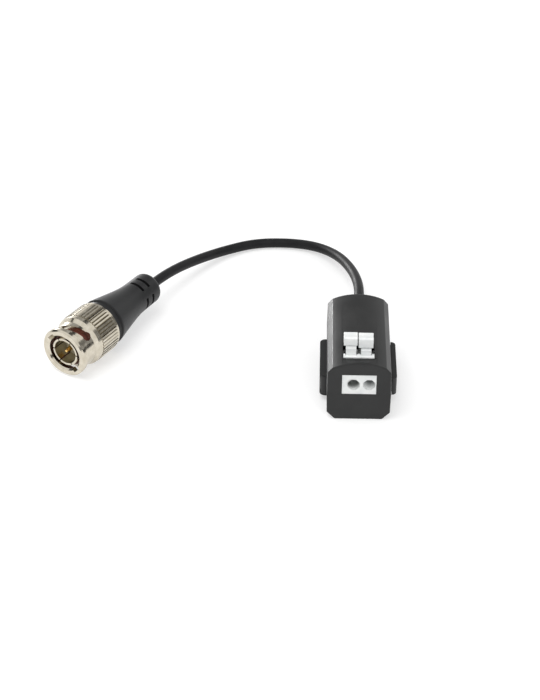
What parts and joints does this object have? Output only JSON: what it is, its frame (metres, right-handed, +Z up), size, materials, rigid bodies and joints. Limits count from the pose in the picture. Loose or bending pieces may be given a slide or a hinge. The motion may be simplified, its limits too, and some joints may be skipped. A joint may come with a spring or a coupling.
{
  "type": "cctv video balun",
  "caption": "Black clip-together video balun with push wire terminals and a short coaxial pigtail ending in a bayonet plug.",
  "frame": {"origin": "centre of the housing's flat base", "axes": "+Z up, the terminal face looks towards -Y, the cable leaves towards +Y, the tongue rail is on +X and the channel rail on -X"},
  "size_m": [0.0942, 0.087, 0.0218],
  "materials": {
    "housing_plastic": "fine satin grain, charcoal",
    "terminal_plastic": "smooth off-white",
    "spring_steel": "bright strip",
    "tinned_brass": "tin plated",
    "board": "green solder mask",
    "ferrite": "sintered dark grey",
    "copper": "enamelled winding wire",
    "ceramic": "tan ceramic",
    "chip_body": "moulded epoxy",
    "cable_jacket": "semi-gloss jacket",
    "boot": "satin moulded boot",
    "nickel": "bright nickel, warm",
    "gasket": "dark red silicone",
    "insulator": "beige, slightly translucent",
    "gold": "gold plated"
  },
  "bodies": {
    "housing": {"upper_shell": "housing_plastic", "lower_shell": "housing_plastic", "terminal_block": "terminal_plastic", "clamp_spring_left": "spring_steel", "clamp_spring_right": "spring_steel", "contact_bar_left": "tinned_brass", "contact_bar_right": "tinned_brass", "circuit_board": "board", "balun_core": "ferrite", "line_winding": "copper", "video_winding": "copper", "capacitor_left": "ceramic", "capacitor_right": "ceramic", "surge_suppressor": "chip_body", "core_wire": "tinned_brass", "shield_wire": "tinned_brass", "cable_anchor": "housing_plastic", "signal_cable": "cable_jacket", "cable_core": "insulator", "cable_boot": "boot", "plug_body": "nickel", "retaining_ring": "spring_steel", "spring_washer": "spring_steel", "sealing_gasket": "gasket", "plug_insulator": "insulator", "centre_pin": "gold", "crimp_ferrule": "nickel"},
    "left_button": {"push_button_left": "terminal_plastic"},
    "right_button": {"push_button_right": "terminal_plastic"},
    "washer": {"slip_washer": "nickel"},
    "nut": {"coupling_nut": "nickel"}
  },
  "joints": [
    {"name": "left_press", "type": "slide", "parent": "housing", "child": "left_button", "axis": [0, 0, -1], "range_m": [0, 0.002], "stiffness_N_per_m": 600, "deforming": ["clamp_spring_left"]},
    {"name": "right_press", "type": "slide", "parent": "housing", "child": "right_button", "axis": [0, 0, -1], "range_m": [0, 0.002], "stiffness_N_per_m": 600, "deforming": ["clamp_spring_right"]},
    {"name": "nut_push", "type": "slide", "parent": "housing", "child": "washer", "axis": [-0.5075, -0.8616, 0], "range_m": [0, 0.0006], "stiffness_N_per_m": 1500, "deforming": ["spring_washer"]},
    {"name": "nut_turn", "type": "hinge", "parent": "washer", "child": "nut", "pos_m": [-0.07837, 0.0009, 0.00725], "axis": [-0.5075, -0.8616, 0], "continuous": true}
  ]
}
